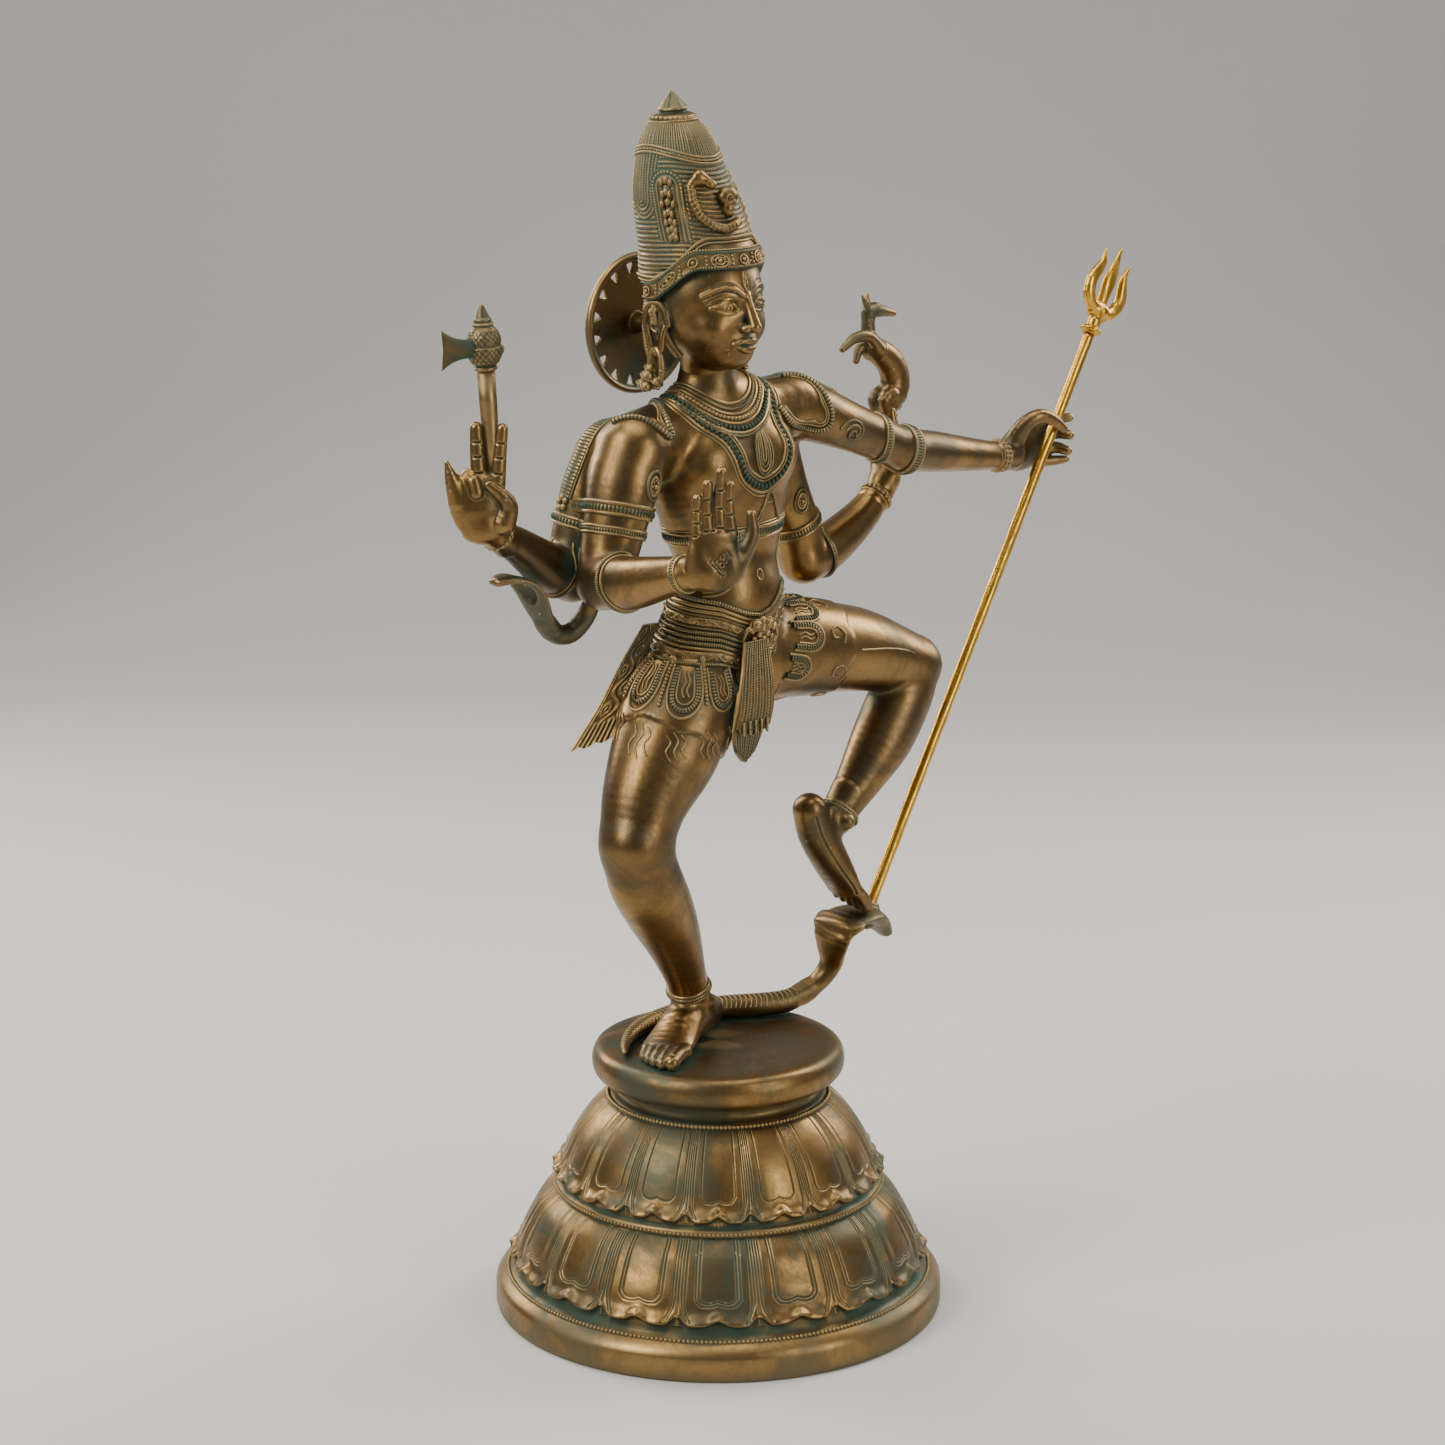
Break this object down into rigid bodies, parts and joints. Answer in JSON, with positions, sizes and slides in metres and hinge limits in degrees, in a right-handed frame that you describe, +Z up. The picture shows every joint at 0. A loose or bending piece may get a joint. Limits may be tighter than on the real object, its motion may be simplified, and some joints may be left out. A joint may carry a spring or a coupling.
{
  "type": "dancing figure statue",
  "caption": "Cast brass dancing figure with four arms on a double lotus base, holding a trident that lifts out.",
  "frame": {"origin": "centre of the base's flat underside", "axes": "+Z up along the base's turning axis, the figure faces -Y and its left side is +X"},
  "size_m": [0.5143, 0.25, 0.6737],
  "materials": {
    "antique_brass": "antiqued, polished on the high spots and green-brown in the recesses",
    "gilt_brass": "bright, lightly worn",
    "raw_brass": "satin, unpolished",
    "steel": "turned"
  },
  "bodies": {
    "statue": {"lotus_base_lower": "antique_brass", "lotus_base_upper": "antique_brass", "base_plate": "raw_brass", "plinth_disc": "antique_brass", "tie_rod": "steel", "torso": "antique_brass", "standing_leg": "antique_brass", "raised_leg": "antique_brass", "head": "antique_brass", "crown": "antique_brass", "crown_finial": "antique_brass", "crown_cobra": "antique_brass", "crown_skull": "antique_brass", "earring_right": "antique_brass", "earring_left": "antique_brass", "halo_disc": "antique_brass", "halo_stem": "antique_brass", "arm_front_right": "antique_brass", "arm_rear_right": "antique_brass", "arm_front_left": "antique_brass", "arm_rear_left": "antique_brass", "axe": "antique_brass", "deer": "antique_brass", "arm_cobra": "antique_brass", "base_cobra": "antique_brass", "side_sash": "antique_brass", "front_sash": "antique_brass"},
    "trident": {"trident_staff": "gilt_brass", "trident_collar": "gilt_brass", "trident_head": "gilt_brass"}
  },
  "joints": [
    {"name": "trident_lift", "type": "slide", "parent": "statue", "child": "trident", "axis": [0.5117, 0, 0.8592], "range_m": [0, 0.33]}
  ]
}
